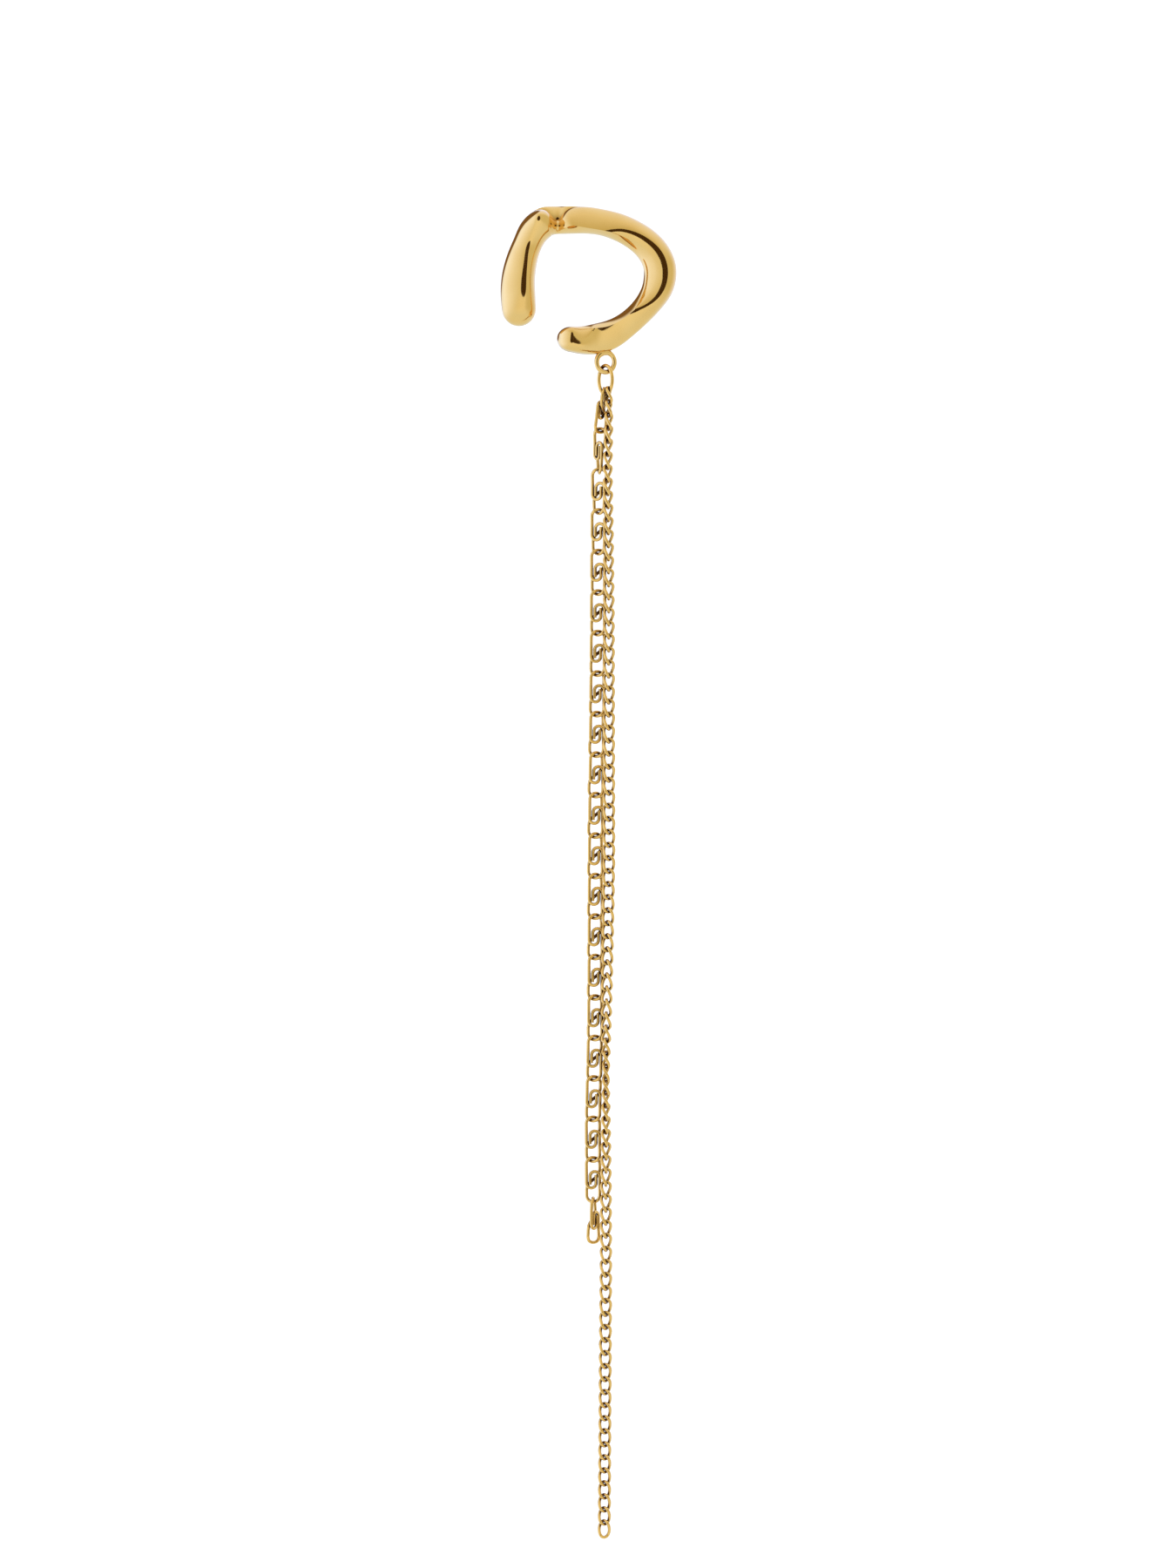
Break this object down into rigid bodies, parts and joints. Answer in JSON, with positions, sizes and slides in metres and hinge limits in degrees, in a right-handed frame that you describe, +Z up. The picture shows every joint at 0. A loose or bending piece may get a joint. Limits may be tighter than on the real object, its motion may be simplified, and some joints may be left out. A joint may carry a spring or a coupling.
{
  "type": "ear cuff",
  "caption": "Bold gold ear cuff with a domed band, a fat lobe and a thin neck, and two chains of unequal length that hang from an oval link under it.",
  "frame": {"origin": "the middle of the crown's inner face, where the rim of the ear bears", "axes": "+Z up, opposite to the way the chains hang; +X to the wearer's side away from the fat lobe; -Y is the front that shows"},
  "size_m": [0.0202, 0.0047, 0.1537],
  "materials": {
    "polished_gold": "high polish, gold plated",
    "gold_wire": "drawn wire, barrel polished and gold plated"
  },
  "bodies": {
    "root": {"cuff": "polished_gold", "oval_link": "gold_wire", "scroll_link_01": "gold_wire", "scroll_link_02": "gold_wire", "scroll_link_03": "gold_wire", "scroll_link_04": "gold_wire", "scroll_link_05": "gold_wire", "scroll_link_06": "gold_wire", "scroll_link_07": "gold_wire", "scroll_link_08": "gold_wire", "scroll_link_09": "gold_wire", "scroll_link_10": "gold_wire", "scroll_link_11": "gold_wire", "scroll_link_12": "gold_wire", "scroll_link_13": "gold_wire", "scroll_link_14": "gold_wire", "scroll_link_15": "gold_wire", "scroll_link_16": "gold_wire", "scroll_link_17": "gold_wire", "scroll_link_18": "gold_wire", "scroll_link_19": "gold_wire", "scroll_link_20": "gold_wire", "scroll_link_21": "gold_wire", "curb_chain": "gold_wire"}
  },
  "joints": []
}
